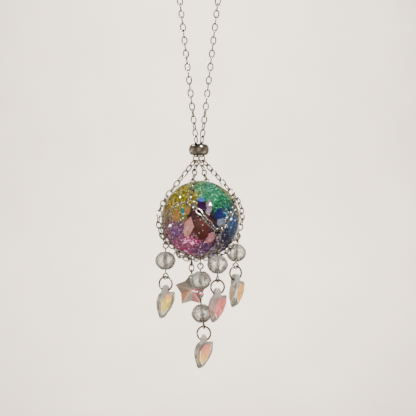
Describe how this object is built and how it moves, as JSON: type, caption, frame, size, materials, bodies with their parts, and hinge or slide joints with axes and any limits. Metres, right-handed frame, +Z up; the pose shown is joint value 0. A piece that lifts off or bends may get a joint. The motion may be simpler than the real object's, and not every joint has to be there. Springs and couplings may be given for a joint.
{
  "type": "crystal suncatcher",
  "caption": "Hanging suncatcher: a clear resin ball with coloured chips in a silver cable-chain net, on a chain loop with a slider bead, over drops of faceted glass beads and pendants.",
  "frame": {"origin": "The underside of the chain at the top of its loop, where a peg or hook carries the suncatcher.", "axes": "+Z up along the hanging length; front towards -Y, the side seen in the picture; +X to the right seen from the front."},
  "size_m": [0.0348, 0.0356, 0.1511],
  "materials": {
    "silver_wire": "bright silver-plated wire",
    "silver_bead": "polished silver plate",
    "clear_resin": "clear polished resin with coloured chips and glitter sealed in it",
    "bead_glass": "clear faceted glass with a faint grey-green tint",
    "coated_glass": "faceted glass with a coating that changes from grey to pink, orange and yellow"
  },
  "bodies": {
    "root": {"slider_ring_left": "silver_wire", "slider_ring_right": "silver_wire", "hanging_chain_top": "silver_wire", "hanging_chain_left": "silver_wire", "hanging_chain_right": "silver_wire", "slider_bead": "silver_bead", "resin_ball": "clear_resin", "net_ring_front": "silver_wire", "net_ring_right": "silver_wire", "net_ring_back": "silver_wire", "net_ring_left": "silver_wire", "net_ring_front_right": "silver_wire", "net_ring_back_right": "silver_wire", "net_ring_back_left": "silver_wire", "net_ring_front_left": "silver_wire", "net_ring_hub": "silver_wire", "net_ring_drop_hold": "silver_wire", "net_chain_left_to_front": "silver_wire", "net_chain_right_to_right": "silver_wire", "net_chain_right_to_back": "silver_wire", "net_chain_left_to_left": "silver_wire", "net_chain_front_to_front_right": "silver_wire", "net_chain_front_to_front_left": "silver_wire", "net_chain_right_to_back_right": "silver_wire", "net_chain_right_to_front_right": "silver_wire", "net_chain_back_to_back_left": "silver_wire", "net_chain_back_to_back_right": "silver_wire", "net_chain_left_to_front_left": "silver_wire", "net_chain_left_to_back_left": "silver_wire", "net_chain_front_right_to_drop_hold": "silver_wire", "net_chain_drop_hold_to_hub": "silver_wire", "net_chain_back_right_to_hub": "silver_wire", "net_chain_back_left_to_hub": "silver_wire", "net_chain_front_left_to_hub": "silver_wire", "left_drop_eye_pin": "silver_wire", "left_drop_bead": "bead_glass", "left_drop_jump_ring": "silver_wire", "left_drop_pendant": "coated_glass", "star_drop_eye_pin": "silver_wire", "star_drop_bead": "bead_glass", "star_drop_upper_link": "silver_wire", "star_drop_lower_link": "silver_wire", "star_drop_star": "coated_glass", "middle_drop_link": "silver_wire", "middle_drop_eye_pin_1": "silver_wire", "middle_drop_bead_1": "bead_glass", "middle_drop_eye_pin_2": "silver_wire", "middle_drop_bead_2": "bead_glass", "middle_drop_jump_ring": "silver_wire", "middle_drop_pendant": "coated_glass", "front_right_drop_eye_pin": "silver_wire", "front_right_drop_bead": "bead_glass", "front_right_drop_jump_ring": "silver_wire", "front_right_drop_pendant": "coated_glass", "right_drop_eye_pin": "silver_wire", "right_drop_bead": "bead_glass", "right_drop_jump_ring": "silver_wire", "right_drop_pendant": "coated_glass"}
  },
  "joints": []
}
